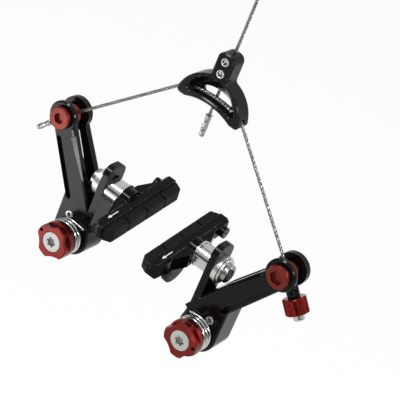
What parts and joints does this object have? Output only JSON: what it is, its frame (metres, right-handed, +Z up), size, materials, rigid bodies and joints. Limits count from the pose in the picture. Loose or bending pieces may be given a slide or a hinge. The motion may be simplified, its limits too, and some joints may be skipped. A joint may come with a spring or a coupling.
{
  "type": "cantilever rim brake",
  "caption": "Cantilever rim brake for a bicycle fork: spring-loaded arms on stud pivots with shoe pads, joined by a straddle cable that a hanger on the main cable lifts.",
  "frame": {"origin": "Midway between the two stud bores, on the rear plane where the pivot sleeves seat on the fork", "axes": "+X across the wheel to the right as seen from the front, -Y to the front, +Z up towards the hanger"},
  "size_m": [0.1633, 0.0552, 0.1795],
  "materials": {
    "arm_black": "satin black anodised",
    "holder_black": "satin black",
    "hanger_black": "gloss black",
    "red_metal": "red anodised",
    "steel": "satin",
    "bright_steel": "polished",
    "spring_steel": "polished wire",
    "bush": "plain",
    "pad_rubber": "matt",
    "cable": "stranded"
  },
  "bodies": {
    "frame_fixed": {"left_pivot_sleeve": "steel", "left_mount_bolt": "steel", "right_pivot_sleeve": "steel", "right_mount_bolt": "steel", "housing_ferrule": "holder_black"},
    "left_arm_body": {"left_arm": "arm_black", "left_arm_screw": "steel", "left_pivot_bush": "bush", "left_return_spring": "spring_steel"},
    "right_arm_body": {"right_arm": "arm_black", "right_arm_screw": "steel", "right_pivot_bush": "bush", "right_return_spring": "spring_steel"},
    "left_adjuster_body": {"left_spring_adjuster": "red_metal"},
    "right_adjuster_body": {"right_spring_adjuster": "red_metal"},
    "left_pad_body": {"left_pad_holder": "holder_black", "left_brake_pad": "pad_rubber", "left_pad_screw": "steel", "left_pad_post": "steel", "left_inner_cup_washer": "bright_steel", "left_inner_dome_washer": "bright_steel", "left_outer_cup_washer": "bright_steel", "left_outer_dome_washer": "bright_steel", "left_pad_nut": "steel"},
    "right_pad_body": {"right_pad_holder": "holder_black", "right_brake_pad": "pad_rubber", "right_pad_screw": "steel", "right_pad_post": "steel", "right_inner_cup_washer": "bright_steel", "right_inner_dome_washer": "bright_steel", "right_outer_cup_washer": "bright_steel", "right_outer_dome_washer": "bright_steel", "right_pad_nut": "steel"},
    "left_anchor_body": {"left_anchor_barrel": "red_metal", "left_anchor_bolt": "red_metal", "left_straddle_cable": "cable", "left_cable_crimp": "bright_steel"},
    "right_anchor_body": {"right_anchor_barrel": "red_metal", "right_anchor_bolt": "red_metal", "right_straddle_cable": "cable", "right_adjuster_tube": "holder_black", "right_cable_nipple": "bright_steel"},
    "knob_body": {"right_adjuster_knob": "red_metal"},
    "hanger_body": {"cable_hanger": "hanger_black", "hanger_set_screws": "steel", "straddle_cable_middle": "cable", "main_cable": "cable", "main_cable_crimp": "bright_steel"}
  },
  "joints": [
    {"name": "left_arm_pivot", "type": "hinge", "parent": "frame_fixed", "child": "left_arm_body", "pos_m": [-0.04, 0, 0], "axis": [0, 1, 0], "range_deg": [0, 7], "stiffness_Nm_per_rad": 0.5, "springref_deg": -68.75},
    {"name": "left_spring_adjuster_turn", "type": "hinge", "parent": "frame_fixed", "child": "left_adjuster_body", "pos_m": [-0.04, -0.024, 0], "axis": [0, 1, 0], "range_deg": [-60, 60]},
    {"name": "left_pad_tilt", "type": "hinge", "parent": "left_arm_body", "child": "left_pad_body", "pos_m": [-0.033, -0.0075, 0.0316], "axis": [1, 0, 0], "range_deg": [-8, 8]},
    {"name": "left_anchor_swivel", "type": "hinge", "parent": "left_arm_body", "child": "left_anchor_body", "pos_m": [-0.0654, -0.0072, 0.0515], "axis": [0, -1, 0], "range_deg": [0, 14.4]},
    {"name": "right_arm_pivot", "type": "hinge", "parent": "frame_fixed", "child": "right_arm_body", "pos_m": [0.04, 0, 0], "axis": [0, -1, 0], "range_deg": [0, 7], "stiffness_Nm_per_rad": 0.5, "springref_deg": -68.75},
    {"name": "right_spring_adjuster_turn", "type": "hinge", "parent": "frame_fixed", "child": "right_adjuster_body", "pos_m": [0.04, -0.024, 0], "axis": [0, -1, 0], "range_deg": [-60, 60]},
    {"name": "right_pad_tilt", "type": "hinge", "parent": "right_arm_body", "child": "right_pad_body", "pos_m": [0.033, -0.0075, 0.0316], "axis": [1, 0, 0], "range_deg": [-8, 8]},
    {"name": "right_anchor_swivel", "type": "hinge", "parent": "right_arm_body", "child": "right_anchor_body", "pos_m": [0.0654, -0.0072, 0.0515], "axis": [0, 1, 0], "range_deg": [0, 14.4]},
    {"name": "hanger_lift", "type": "slide", "parent": "frame_fixed", "child": "hanger_body", "axis": [0, 0, 1], "range_m": [0, 0.0088]},
    {"name": "knob_turn", "type": "hinge", "parent": "right_anchor_body", "child": "knob_body", "pos_m": [0.07576, -0.0072, 0.03931], "axis": [0.6475, 0, -0.762], "range_deg": [-180, 180]}
  ],
  "couplings": [
    {"joint": "right_arm_pivot", "follows": "left_arm_pivot", "ratio": 1},
    {"joint": "hanger_lift", "follows": "left_arm_pivot", "m_per_rad": 0.0712},
    {"joint": "left_anchor_swivel", "follows": "left_arm_pivot", "ratio": 2.043},
    {"joint": "right_anchor_swivel", "follows": "left_arm_pivot", "ratio": 2.043}
  ]
}
